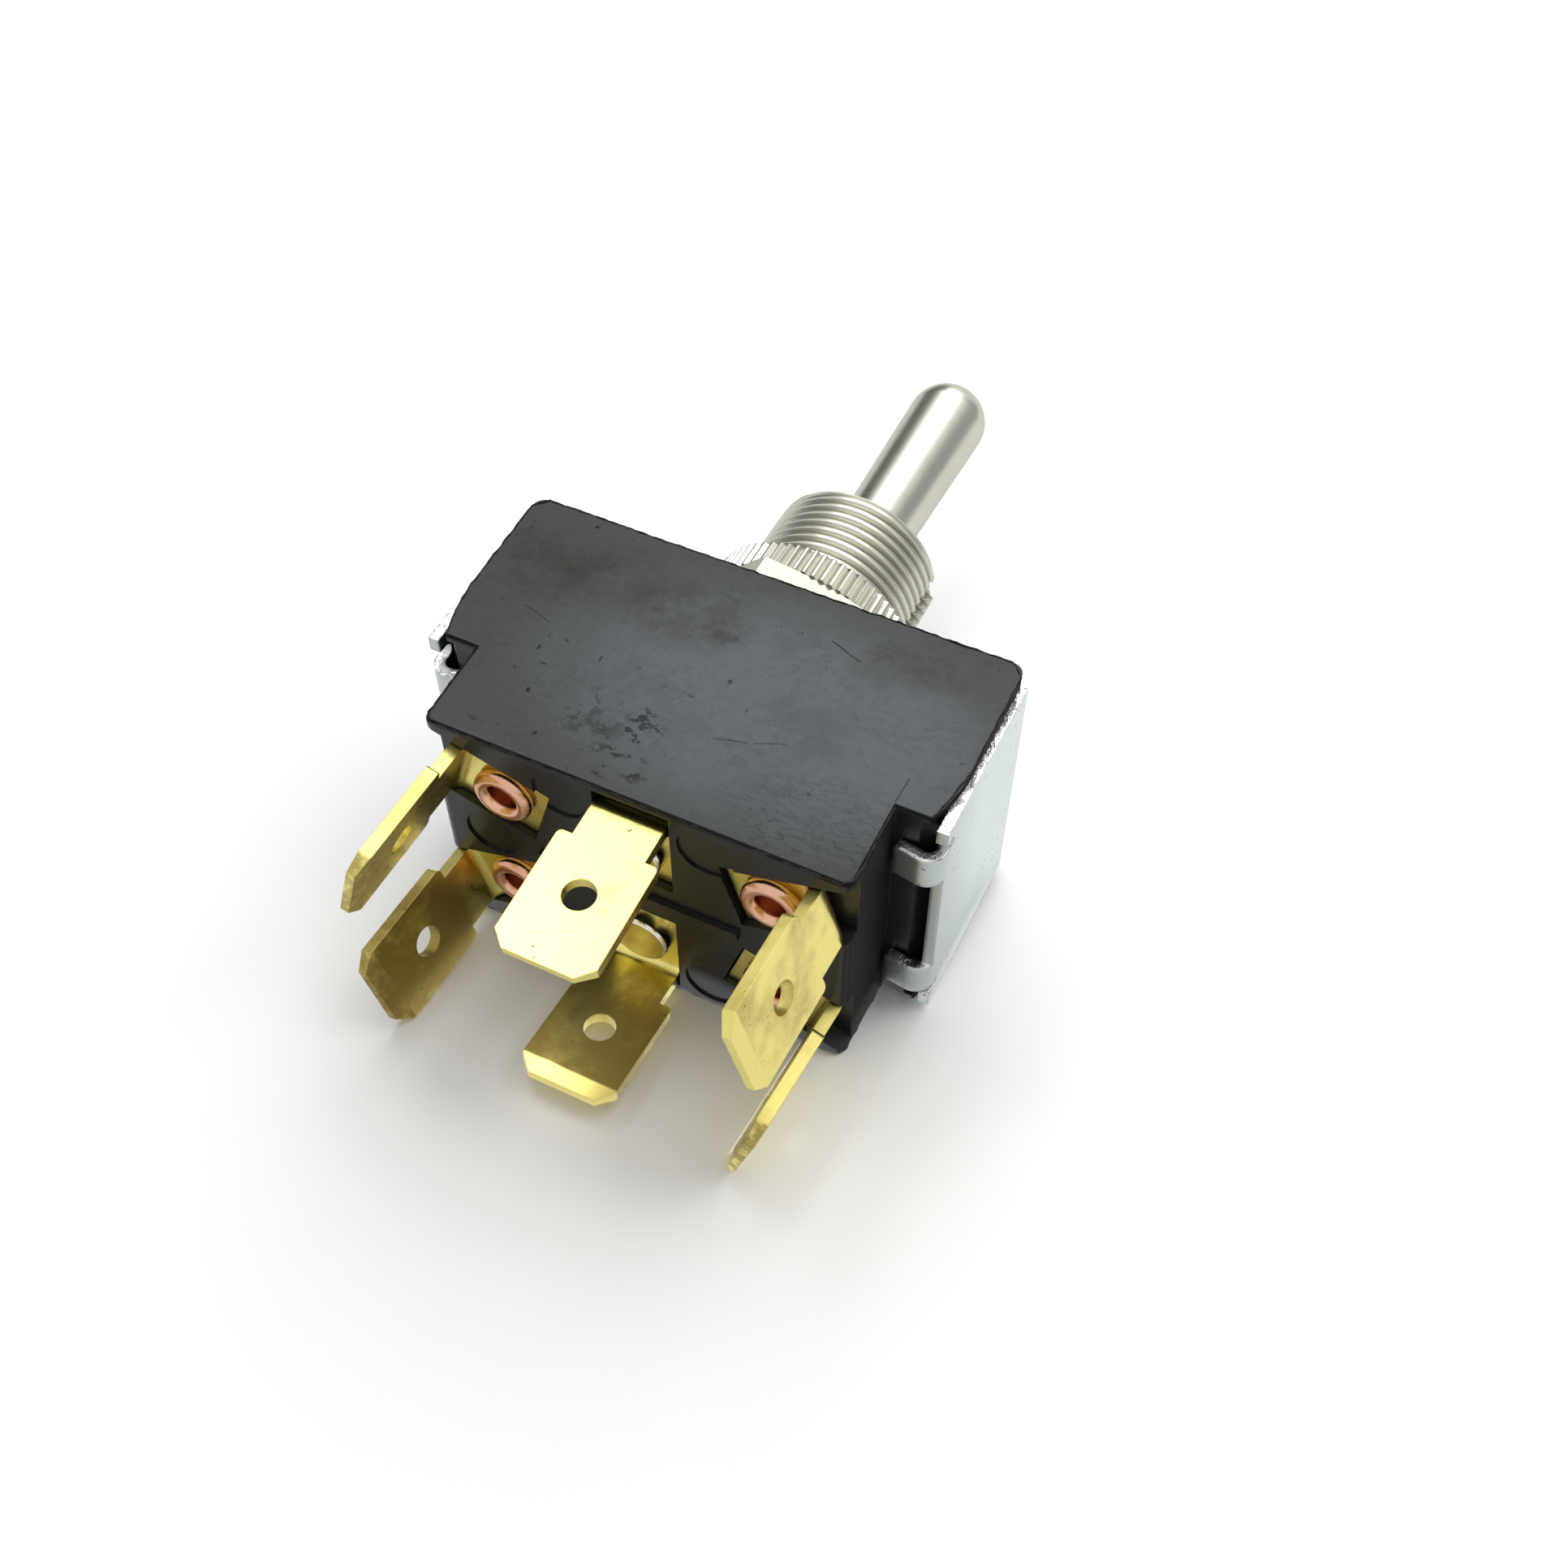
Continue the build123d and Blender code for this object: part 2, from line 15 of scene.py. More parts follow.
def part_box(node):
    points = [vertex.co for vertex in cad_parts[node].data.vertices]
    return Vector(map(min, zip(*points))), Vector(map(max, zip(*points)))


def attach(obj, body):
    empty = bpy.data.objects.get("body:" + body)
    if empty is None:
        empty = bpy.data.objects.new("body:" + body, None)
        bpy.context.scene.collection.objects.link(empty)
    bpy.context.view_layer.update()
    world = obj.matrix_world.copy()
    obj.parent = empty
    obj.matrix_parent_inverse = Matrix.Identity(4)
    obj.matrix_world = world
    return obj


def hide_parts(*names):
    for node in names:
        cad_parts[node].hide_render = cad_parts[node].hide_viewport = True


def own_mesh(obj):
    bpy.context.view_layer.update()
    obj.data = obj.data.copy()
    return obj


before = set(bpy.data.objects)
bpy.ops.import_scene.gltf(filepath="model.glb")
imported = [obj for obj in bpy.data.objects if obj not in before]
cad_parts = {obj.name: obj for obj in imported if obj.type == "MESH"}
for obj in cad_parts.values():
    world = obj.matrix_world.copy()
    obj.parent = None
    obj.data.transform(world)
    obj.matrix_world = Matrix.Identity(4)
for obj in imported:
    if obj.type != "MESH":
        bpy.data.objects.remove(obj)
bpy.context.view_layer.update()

MM = 0.001
scene = bpy.context.scene
scene.view_settings.view_transform = "Standard"

# %% [markdown]
# The camera.
# The switch lies on its back broad face, and the photograph looks down on it past the terminals.
# The place and direction below were fitted to corners, rivets and outlines in the photograph,
# with the blades and the bushing assumed to have standard sizes, and the view is written
# as the camera's own right, down and forward directions.

# %% Camera at the photograph's viewing angle
PHOTO_SIDE = 1932
FOCAL_PX = 2216.9
CENTRE_PX = (959.5, 956.6)
CAMERA_AT = Vector((34.21, -87.75, -75.36)) * MM
RIGHT = Vector((0.8984, -0.0014, 0.4391))
DOWN = Vector((0.3441, 0.6235, -0.7021))
FORWARD = Vector((-0.2728, 0.7818, 0.5606))

camera_data = bpy.data.cameras.new("camera")
camera_data.sensor_width = 36
camera_data.lens = FOCAL_PX / PHOTO_SIDE * camera_data.sensor_width
camera_data.shift_x = 0.5 - CENTRE_PX[0] / PHOTO_SIDE
camera_data.shift_y = CENTRE_PX[1] / PHOTO_SIDE - 0.5
camera_data.clip_start = 0.002
camera_data.clip_end = 20
camera = bpy.data.objects.new("camera", camera_data)
turn = Matrix((RIGHT, -DOWN, -FORWARD)).transposed()
camera.matrix_world = Matrix.Translation(CAMERA_AT) @ turn.to_4x4()
scene.collection.objects.link(camera)
scene.camera = camera
shift = [round(value, 4) for value in (camera_data.shift_x, camera_data.shift_y)]
print("lens", round(camera_data.lens, 2), "mm, shift", *shift)

# %% [markdown]
# Shader maths.
# A finish is a sum of small effects: a tint, a stain, a scratch, a worn edge.
# Building each sum by hand out of Math nodes is slow to read, so one small class wraps a node's output
# and lets Python's own operators add the nodes.

# %% A socket that can be added, multiplied and compared
class Wire:
    """One output of a shader node. Arithmetic on it adds Math nodes to the same tree."""

    def __init__(self, tree, socket):
        self.tree = tree
        self.socket = socket

    def add(self, kind, settings, sockets, out=0):
        """Add any node: its settings first, then the values or links of its sockets."""
        node = self.tree.nodes.new(kind)
        for name, value in settings.items():
            if name == "stops":
                while len(node.color_ramp.elements) < len(value):
                    node.color_ramp.elements.new(1)
                for element, (place, colour) in zip(node.color_ramp.elements, value):
                    element.position = place
                    element.color = (*colour, 1)
            else:
                setattr(node, name, value)
        for name, value in sockets.items():
            if isinstance(value, Wire):
                self.tree.links.new(value.socket, node.inputs[name])
            else:
                node.inputs[name].default_value = value
        return Wire(self.tree, node.outputs[out])

    def math(self, operation, first, second=0.0):
        return self.add("ShaderNodeMath", {"operation": operation}, {0: first, 1: second})

    def __add__(self, other):
        return self.math("ADD", self, other)

    def __radd__(self, other):
        return self.math("ADD", other, self)

    def __sub__(self, other):
        return self.math("SUBTRACT", self, other)

    def __rsub__(self, other):
        return self.math("SUBTRACT", other, self)

    def __mul__(self, other):
        return self.math("MULTIPLY", self, other)

    def __rmul__(self, other):
        return self.math("MULTIPLY", other, self)

    def __abs__(self):
        return self.math("ABSOLUTE", self)


def new_finish(name):
    """A new material: its Principled shader and the surface's place in the row frame."""
    material = bpy.data.materials.new(name)
    material.use_nodes = True
    tree = material.node_tree
    place = Wire(tree, tree.nodes.new("ShaderNodeTexCoord").outputs["Object"])
    return material, tree.nodes["Principled BSDF"], place


def feed(shader, name, wire):
    wire.tree.links.new(wire.socket, shader.inputs[name])


def grain(place, scale, detail=2.0, roughness=0.5):
    """Cloudy noise from 0 to 1, with scale in features for each metre."""
    sockets = {"Vector": place, "Scale": scale, "Detail": detail, "Roughness": roughness}
    return place.add("ShaderNodeTexNoise", {}, sockets)


def ease(value, low, high):
    """0 below low, 1 above high, and a soft step between them. With low above high it falls."""
    sockets = {"Value": value, "From Min": low, "From Max": high}
    return value.add("ShaderNodeMapRange", {"interpolation_type": "SMOOTHSTEP"}, sockets)


def tint(mask, first, second):
    """A colour that goes from first to second as the mask goes from 0 to 1."""
    return mask.add("ShaderNodeMix", {"data_type": "RGBA"}, {0: mask, 6: first, 7: second}, out=2)


def stretched(place, scale):
    """The same place, stretched, for a pattern with a direction."""
    return place.add("ShaderNodeMapping", {"vector_type": "POINT"}, {"Vector": place, "Scale": scale})


def axes(place):
    """The three coordinates of a place as separate wires."""
    first = place.add("ShaderNodeSeparateXYZ", {}, {"Vector": place})
    return [Wire(first.tree, socket) for socket in first.socket.node.outputs]


def rounded(place, radius):
    """The normal with edges softened by that radius, as moulding and stamping leave them."""
    return place.add("ShaderNodeBevel", {"samples": 4}, {"Radius": radius})


def true_normal(place):
    return place.add("ShaderNodeNewGeometry", {}, {}, out="True Normal")


def worn_edge(place, soft):
    """1 on edges, 0 on flat faces: how far the softened normal leaves the true one."""
    pair = {0: soft, 1: true_normal(place)}
    facing = place.add("ShaderNodeVectorMath", {"operation": "DOT_PRODUCT"}, pair, out="Value")
    return ease(facing, 0.995, 0.9)


def near_place(place, spot_mm, inside, outside):
    """1 within a distance of a point, 0 beyond a larger one, in millimetres."""
    pair = {0: place, 1: Vector(spot_mm) * MM}
    reach = place.add("ShaderNodeVectorMath", {"operation": "DISTANCE"}, pair, out="Value")
    return ease(reach, outside * MM, inside * MM)


def relief(height, depth, soft):
    """A bump of that depth in metres, on top of a softened normal."""
    sockets = {"Strength": 1.0, "Distance": depth, "Height": height, "Normal": soft}
    return height.add("ShaderNodeBump", {}, sockets)


def dress(finish, *names):
    """Give CAD nodes a finish in place of the plain one they were packed with."""
    for name in names:
        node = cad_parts[name]
        if not node.material_slots:
            node.data.materials.append(finish)
        for slot in node.material_slots:
            slot.material = finish
    print(finish.name, "on", ", ".join(names))


# %% [markdown]
# The table and the light.
# The photograph has a white table under a large soft overhead light, with a darker room at its sides.
# The softbox lights the scene, a strip and a small window draw the bright bands on the metal,
# a bounce lamp that reflections do not see lifts the right side, and two grey cards darken the reflections.
# The table touches the drafted back face, so it tilts with that draft.
# Seen from behind it is clear, and it also lets through what starts within a few millimetres of it,
# so that the back of the switch can be looked at too.

# %% White table
BODY_TOP = -5.9 * MM
BACK_FACE = 9.93 * MM
DRAFT_SLOPE = 0.88 / 18.2
DRAFT = math.atan(DRAFT_SLOPE)
TABLE_SIDE = 3.0
CLEAR_WITHIN = 4 * MM

half = TABLE_SIDE / 2
corners = [(-half, 0, -half), (half, 0, -half), (half, 0, half), (-half, 0, half)]
table_mesh = bpy.data.meshes.new("table")
tilt = Matrix.Translation((0, BACK_FACE, BODY_TOP)) @ Matrix.Rotation(-DRAFT, 4, "X")
table_mesh.from_pydata([tilt @ Vector(corner) for corner in corners], [], [(0, 1, 2, 3)])
table = bpy.data.objects.new("table", table_mesh)
scene.collection.objects.link(table)

paper, paper_shader, place = new_finish("table_paper")
paper_shader.inputs["Base Color"].default_value = (0.97, 0.97, 0.97, 1)
paper_shader.inputs["Roughness"].default_value = 0.9
paper_shader.inputs["Specular IOR Level"].default_value = 0.1
behind = place.add("ShaderNodeNewGeometry", {}, {}, out="Backfacing")
seen = place.add("ShaderNodeLightPath", {}, {}, out="Is Camera Ray")
ray_length = place.add("ShaderNodeLightPath", {}, {}, out="Ray Length")
near = ease(ray_length, CLEAR_WITHIN, CLEAR_WITHIN / 2) * (1 - seen)
clear = place.add("ShaderNodeBsdfTransparent", {}, {})
open_side = place.math("MAXIMUM", behind, near)
lit = Wire(paper.node_tree, paper_shader.outputs["BSDF"])
surface = place.add("ShaderNodeMixShader", {}, {0: open_side, 1: lit, 2: clear})
paper.node_tree.links.new(surface.socket, paper.node_tree.nodes["Material Output"].inputs["Surface"])
table_mesh.materials.append(paper)
print("table faces", tuple(round(v, 3) for v in table_mesh.polygons[0].normal))

# %% Soft overhead light, room light and the dark sides of the room
ROOM_LEVEL = 0.6
ROOM_TILT = 0.6
CARD_DISTANCE = 0.45
MIDDLE = Vector((0, 0, -5 * MM))


def soft_lamp(name, towards, distance, side, radiance):
    """A square area lamp that faces the switch, with its brightness as seen from there."""
    data = bpy.data.lights.new(name, "AREA")
    data.size = side
    data.energy = radiance * math.pi * side**2
    lamp = bpy.data.objects.new(name, data)
    lamp.location = MIDDLE + Vector(towards).normalized() * distance
    lamp.rotation_mode = "QUATERNION"
    lamp.rotation_quaternion = (-Vector(towards)).to_track_quat("-Z", "Y")
    scene.collection.objects.link(lamp)
    return lamp


softbox = soft_lamp("softbox", (-0.1, -0.85, 0.5), 0.5, 0.44, 1.4)
soft_lamp("strip", (-0.1, -0.57, 0.82), 0.45, 0.2, 2.0)
soft_lamp("window", (-0.43, -0.885, 0.18), 0.48, 0.11, 4.0)
bounce = soft_lamp("bounce", (0.5, -0.82, 0.28), 0.6, 0.3, 2.6)
bounce.visible_glossy = False

room = bpy.data.worlds.new("room")
scene.world = room
room.use_nodes = True
room_light = room.node_tree.nodes["Background"]
ray = room.node_tree.nodes.new("ShaderNodeLightPath")
shown = Wire(room.node_tree, ray.outputs["Is Camera Ray"])
shown = shown.math("MAXIMUM", shown, Wire(room.node_tree, ray.outputs["Is Glossy Ray"]))
shown = shown.math("MAXIMUM", shown, Wire(room.node_tree, ray.outputs["Is Transmission Ray"]))
towards = shown.add("ShaderNodeTexCoord", {}, {}, out="Generated")
far_side = axes(towards)[2] * (ROOM_LEVEL * ROOM_TILT) + ROOM_LEVEL
strength = shown + (1 - shown) * far_side
room.node_tree.links.new(strength.socket, room_light.inputs["Strength"])
room_light.inputs["Color"].default_value = (1, 1, 1, 1)


def room_side(name, towards, width, height, grey):
    """A plain card that only reflections see, for a darker side of the room."""
    out = Vector(towards).normalized()
    across = out.cross(Vector((0, 1, 0))).normalized() * width / 2
    up = out.cross(across).normalized() * height / 2
    middle = MIDDLE + out * CARD_DISTANCE
    mesh = bpy.data.meshes.new(name)
    signs = ((-1, -1), (1, -1), (1, 1), (-1, 1))
    mesh.from_pydata([middle + across * a + up * b for a, b in signs], [], [(0, 1, 2, 3)])
    card = bpy.data.objects.new(name, mesh)
    scene.collection.objects.link(card)
    card.visible_camera = card.visible_diffuse = card.visible_shadow = False
    finish = bpy.data.materials.new(name)
    finish.use_nodes = True
    glow = Wire(finish.node_tree, finish.node_tree.nodes["Principled BSDF"].outputs["BSDF"])
    glow = glow.add("ShaderNodeEmission", {}, {"Color": (grey, grey, grey, 1)})
    finish.node_tree.links.new(glow.socket, finish.node_tree.nodes["Material Output"].inputs["Surface"])
    mesh.materials.append(finish)


room_side("room_left", (-0.66, -0.22, 0.6), 0.5, 0.24, 0.1)
room_side("room_right", (0.72, -0.18, 0.6), 0.5, 0.32, 0.46)
print("softbox and bounce", [round(lamp.data.energy, 2) for lamp in (softbox, bounce)], "W, room", ROOM_LEVEL)

# %% [markdown]
# The moulded body.
# The real one is dark phenolic: nearly black, slightly glossy, dulled on its broad faces by handling.
# A flat black would look like a hole in the picture, so the colour is mottled, the gloss varies,
# the broad faces carry a painted sheen, a lighter bluish patch with dust in it towards the middle,
# and the front face carries the smear, the specks and the scratches that the photograph shows,
# each placed in millimetres on that face.

# %% Dark phenolic
phenolic, shader, place = new_finish("phenolic_finish")
x, _, z = axes(place)
soft = rounded(place, 0.12 * MM)
normal_x, normal_y, normal_z = axes(true_normal(place))
broad = ease(abs(normal_y), 0.9, 0.97)
front = ease(normal_y, -0.9, -0.97)
end_face = ease(abs(normal_x), 0.8, 0.95)
under = ease(normal_z, -0.8, -0.95)


def line_mark(x0, z0, x1, z1, width):
    """A fine scratch between two points of the front face, in millimetres."""
    turn = math.atan2(z1 - z0, x1 - x0)
    length = math.hypot(x1 - x0, z1 - z0)
    cos, sin = math.cos(turn), math.sin(turn)
    along = (x * (cos / MM) + z * (sin / MM)) - (x0 * cos + z0 * sin)
    across = (z * (cos / MM) - x * (sin / MM)) - (z0 * cos - x0 * sin)
    ragged = across + grain(place, 900, 1) * 0.12 - 0.06
    inside = ease(abs(along - length / 2), length / 2, length / 2 - 0.25)
    return ease(abs(ragged), width, width * 0.3) * inside


def spot(x0, z0, half_x, half_z, core=0.2):
    """1 in the middle of an oval of the front face, falling to 0 at its rim, in millimetres."""
    beside = x * (1 / MM / half_x) - x0 / half_x
    over = z * (1 / MM / half_z) - z0 / half_z
    return ease(beside * beside + over * over, 1.0, core)


scratch_places = (
    (5.2, -8.8, 7.6, -9.7, 0.06),
    (-12.7, -14.1, -10.4, -14.7, 0.035),
    (2.1, -18.3, 4.4, -17.7, 0.035),
    (4.4, -17.7, 6.4, -16.8, 0.03),
    (-6.4, -16.2, -6.4, -15.5, 0.07),
    (-9.6, -17.6, -9.0, -17.6, 0.09),
    (13.5, -16.0, 13.4, -18.0, 0.04),
    (-9.2, -15.4, -8.6, -15.6, 0.06),
)
dot_places = (
    (-10.6, -18.5), (-10.2, -16.6), (-11.8, -6.6), (-9.1, -19.7), (-7.1, -22.3), (3.4, -9.1), (1.3, -14.2),
)
scratched = sum(line_mark(*ends) for ends in scratch_places)
dotted = sum(spot(x0, z0, 0.2, 0.26) for x0, z0 in dot_places) * ease(grain(place, 2100, 3, 0.6), 0.4, 0.56)
flakes = ease(grain(place, 520, 5, 0.72), 0.5, 0.56)
crumbs = ease(grain(stretched(place, (1, 1, 1.5)), 760, 5, 0.7), 0.54, 0.58)
smear = spot(-4.6, -19.8, 2.6, 2.8) * flakes * 0.6 + spot(-2.0, -19.4, 2.7, 2.0) * crumbs
smear = smear + spot(-1.9, -22.2, 2.6, 1.5) * crumbs + spot(-0.2, -11.4, 1.5, 0.9) * flakes * 0.5
specks = ease(grain(place, 1250, 2, 0.6), 0.68, 0.75) + ease(grain(place, 3300, 2, 0.6), 0.68, 0.76) * 0.6
bark = grain(stretched(place, (0.4, 1, 1.3)), 1300, 4, 0.65)
worn_corner = spot(10.2, -21.0, 7.0, 4.2, 0.1)
cracked = ease(grain(place, 330, 3, 0.6), 0.46, 0.62) * 0.35 + worn_corner * 0.5
crease = broad * ease(abs(bark - 0.5), 0.045, 0.0) * cracked
marks = front * (scratched + dotted + smear * 0.8) + broad * specks * 0.45 + crease * 0.55
marks = marks.math("MINIMUM", marks, 1.0)

clouds = grain(place, 160, 4, 0.6)
dust = grain(place, 5200, 3, 0.6)
blotches = ease(grain(place, 190, 4, 0.6), 0.42, 0.66)
leather = grain(place, 1900, 4, 0.7)
stain = spot(-3.4, -10.7, 5.0, 3.4, 0.0) + spot(-12.8, -10.2, 4.4, 3.6, 0.0) * 0.8
stain = stain + spot(-9.0, -10.0, 5.0, 3.4, 0.0) * 0.4
stain = stain + spot(9.2, -9.3, 3.4, 2.2, 0.0) * 0.6 + spot(13.0, -8.8, 3.4, 2.2, 0.0) * 0.6
stain = front * stain * ease(grain(place, 420, 5, 0.7), 0.3, 0.62) * 0.8
# Painted sheen with dust: the broad faces are coloured lighter and bluer towards the middle of the front
# face, falling off towards its rim.
dust_and_sheen = broad * spot(5.0, -15.2, 19.0, 10.4, 0.0) * (1 - blotches * 0.35) * (0.62 + leather * 0.76)
edge = worn_edge(place, soft) * ease(grain(place, 1500, 3, 0.6), 0.42, 0.62)

body_colour = tint(clouds, (0.006, 0.0065, 0.007, 1), (0.012, 0.0125, 0.013, 1))
body_colour = tint(broad, body_colour, (0.028, 0.031, 0.029, 1))
body_colour = tint(dust_and_sheen, body_colour, (0.045, 0.056, 0.064, 1))
body_colour = tint(stain * 0.9, body_colour, (0.02, 0.019, 0.015, 1))
body_colour = tint(marks, body_colour, (0.006, 0.006, 0.008, 1))
body_colour = tint(edge * 0.5, body_colour, (0.09, 0.092, 0.095, 1))
feed(shader, "Base Color", body_colour)
gloss = 0.2 + broad * 0.14 + end_face * 0.4 + dust * 0.1 + broad * blotches * 0.08 + marks * 0.15
feed(shader, "Roughness", gloss)
coat = under * 0.5 + broad * (0.34 + leather * 0.2) + dust_and_sheen * 0.34 - stain * 0.2
feed(shader, "Coat Weight", coat.math("MAXIMUM", coat * (1 - marks * 0.7), 0.0))
shader.inputs["Coat Roughness"].default_value = 0.3
shader.inputs["Specular IOR Level"].default_value = 0.06
height = dust * 0.3 + leather * broad * 2.2 - marks * 1.2 + front * worn_corner * bark * 9.0
feed(shader, "Normal", relief(height, 0.006 * MM, soft))
dress(phenolic, "base_housing")

# %% [markdown]
# The steel strap.
# It is stamped from zinc plated sheet: pale, satin, with a greenish cast, peppered with dark specks
# where the plating is thin. Its sheared edges and the rims of its curled tabs are bright and torn.
# Towards its lower end the colour is painted darker, a painted reflection of the shadowed table.

# %% Zinc plated steel
zinc, shader, place = new_finish("zinc_finish")
z = axes(place)[2]
curled = ease(z, -17.6 * MM, -18.2 * MM)
soft = rounded(place, curled * (0.24 * MM) + 0.1 * MM)
sheared = ease(abs(axes(true_normal(place))[1]), 0.6, 0.9)
smoke = grain(place, 130, 4, 0.6)
pepper = ease(grain(place, 3900, 2, 0.55), 0.67, 0.7) * ease(grain(place, 140, 2), 0.42, 0.56)
torn = ease(grain(stretched(place, (1, 1, 0.7)), 2400, 4, 0.75), 0.53, 0.6)
torn = torn * sheared * ease(grain(place, 700, 2), 0.42, 0.6)
fine = grain(place, 7000, 2, 0.6)
steel_colour = tint(smoke, (0.54, 0.6, 0.58, 1), (0.66, 0.73, 0.71, 1))
# Painted shade: darker towards the lower end, standing in for the shadowed table that the strap reflects
# there.
steel_colour = tint(ease(z, -12.0 * MM, -19.0 * MM) * 0.7, steel_colour, (0.42, 0.46, 0.45, 1))
steel_colour = tint(sheared, steel_colour, (0.86, 0.87, 0.86, 1))
steel_colour = tint(pepper * 0.85, steel_colour, (0.05, 0.05, 0.05, 1))
steel_colour = tint(torn * 0.65, steel_colour, (0.12, 0.12, 0.12, 1))
feed(shader, "Base Color", steel_colour)
feed(shader, "Roughness", 0.28 + smoke * 0.1 + fine * 0.06 + pepper * 0.3 - sheared * 0.1)
shader.inputs["Metallic"].default_value = 1
height = fine * 0.4 + smoke * 0.8 - pepper * 1.0 - torn * 3.0 + sheared * grain(place, 1500, 3, 0.7) * 9.0
feed(shader, "Normal", relief(height, 0.008 * MM, soft))
dress(zinc, "steel_frame")

# %% [markdown]
# Nickel plate.
# The lever, the bushing and the nuts are plated brass with a warm grey shine.
# The hex nut and the bushing below it are painted darker, a painted shade that dims the lamps' reflection on
# the flats.
# Turning and polishing leave fine lines round the axis, which stretch the reflections along it.

# %% Warm nickel
AXIS_RINGS = (0.35, 0.35, 6.0)
nickel, shader, place = new_finish("nickel_finish")
x, y, z = axes(place)
soft = rounded(place, 0.06 * MM)
rings = grain(stretched(place, AXIS_RINGS), 2600, 3, 0.65)
haze = grain(place, 260, 3, 0.6)
grit = ease(grain(place, 1900, 3, 0.7), 0.6, 0.7)
soil = near_place(place, (5.3, -1.2, 0.9), 0.9, 2.4) * grit
nickel_colour = tint(haze, (0.52, 0.515, 0.44, 1), (0.63, 0.625, 0.55, 1))
nickel_colour = tint(soil * 0.85, nickel_colour, (0.16, 0.11, 0.06, 1))
around = x.math("SQRT", x * x + y * y)
groove_dirt = ease(around, 5.7 * MM, 5.5 * MM) * ease(around, 4.9 * MM, 5.1 * MM)
groove_dirt = groove_dirt * ease(z, 0.0, 0.3 * MM) * ease(z, 7.2 * MM, 6.9 * MM)
nickel_colour = tint(groove_dirt * 0.6, nickel_colour, (0.26, 0.22, 0.12, 1))
# Painted shade: below this level the nickel is coloured darker, to dim the lamps' reflection on the hex nut's
# flats.
back_nut_painted_shade = ease(z, -2.0 * MM, -2.4 * MM)
nickel_colour = tint(back_nut_painted_shade * (0.65 + grit * 0.25), nickel_colour, (0.34, 0.335, 0.28, 1))
feed(shader, "Base Color", nickel_colour)
shader.inputs["Specular Tint"].default_value = (0.75, 0.75, 0.72, 1)
feed(shader, "Roughness", 0.2 + haze * 0.1 + rings * 0.08 + soil * 0.4)
shader.inputs["Metallic"].default_value = 1
feed(shader, "Normal", relief(rings * 0.5 + haze * 0.6 + soil * 2.0, 0.005 * MM, soft))
dress(nickel, "lever", "hex_nut", "knurled_nut")

# %% [markdown]
# Brass blades.
# Bare rolled brass that has started to tarnish. Clouds of olive and brown lie over a yellow ground,
# the middle back and back left blades, and a little the front right one, are painted with more of that
# tarnish as a painted reflection of the dark body and its shade, and the sheared edges hold dirt.

# %% Tarnished brass
brass, shader, place = new_finish("brass_finish")
x, y, z = axes(place)
soft = rounded(place, 0.09 * MM)
cloudy = grain(place, 210, 4, 0.6)
mottled = grain(place, 900, 4, 0.65)
rolled = grain(stretched(place, (4, 4, 0.5)), 2200, 2, 0.6)
dots = ease(grain(place, 2300, 2, 0.6), 0.68, 0.74) * ease(grain(place, 330, 2), 0.5, 0.62)

# Painted shade: these blades get extra tarnish colour, standing in for the dark body and shadow that they
# reflect.
reflected_shade_blades = near_place(place, (0, 7.6, -30.5), 4.2, 7.0)
reflected_shade_blades = reflected_shade_blades + near_place(place, (-12.6, 6.2, -30.5), 3.8, 6.5) * 1.3
reflected_shade_blades = reflected_shade_blades + near_place(place, (12.4, -5.6, -30.5), 3.8, 6.5) * 0.35
tip = ease(z, -33.2 * MM, -33.35 * MM)
outer_blade = ease(x, -6.0 * MM, -7.0 * MM) + ease(x, 6.0 * MM, 7.0 * MM) * ease(y, 0.0, 2.0 * MM)
clean_tip = tip * (1 - outer_blade)
dirty_tip = tip * outer_blade * ease(grain(place, 1100, 4, 0.7), 0.36, 0.56)
tarnish = ease(cloudy * 0.7 + mottled * 0.3 + reflected_shade_blades * 0.16, 0.46, 0.72) * (1 - clean_tip * 0.85)
edge = worn_edge(place, soft)
brass_colour = tint(mottled, (0.76, 0.65, 0.19, 1), (0.83, 0.73, 0.25, 1))
brass_colour = tint(tarnish * (0.4 + reflected_shade_blades * 0.4), brass_colour, (0.28, 0.2, 0.05, 1))
brass_colour = tint(dots * 0.8, brass_colour, (0.09, 0.06, 0.03, 1))
brass_colour = tint(dirty_tip * 0.55, brass_colour, (0.2, 0.13, 0.04, 1))
brass_colour = tint(edge * 0.5, brass_colour, (0.66, 0.5, 0.16, 1))
feed(shader, "Base Color", brass_colour)
feed(shader, "Roughness", 0.22 + tarnish * 0.16 + mottled * 0.08 + dots * 0.3 + dirty_tip * 0.2)
shader.inputs["Metallic"].default_value = 1
feed(shader, "Normal", relief(rolled * 0.5 + mottled * 0.8 - dots * 1.5, 0.006 * MM, soft))
blades = [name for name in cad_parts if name.startswith("terminal_")]
dress(brass, *blades)

# %% [markdown]
# Rivets.
# The outer terminals are held by copper rivets with a rolled rim round a rough bore, painted darker inside
# for the shade in it, the middle ones by flat plated heads, whose faces are painted brass gold as a
# reflection.

# %% Copper and plated rivets
copper, shader, place = new_finish("copper_finish")
soft = rounded(place, 0.06 * MM)
ripple = grain(place, 1500, 3, 0.65)
blush = grain(place, 500, 3, 0.6)
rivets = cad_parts["contact_rivets"]
rim_level = min((rivets.matrix_world @ Vector(corner)).z for corner in rivets.bound_box)
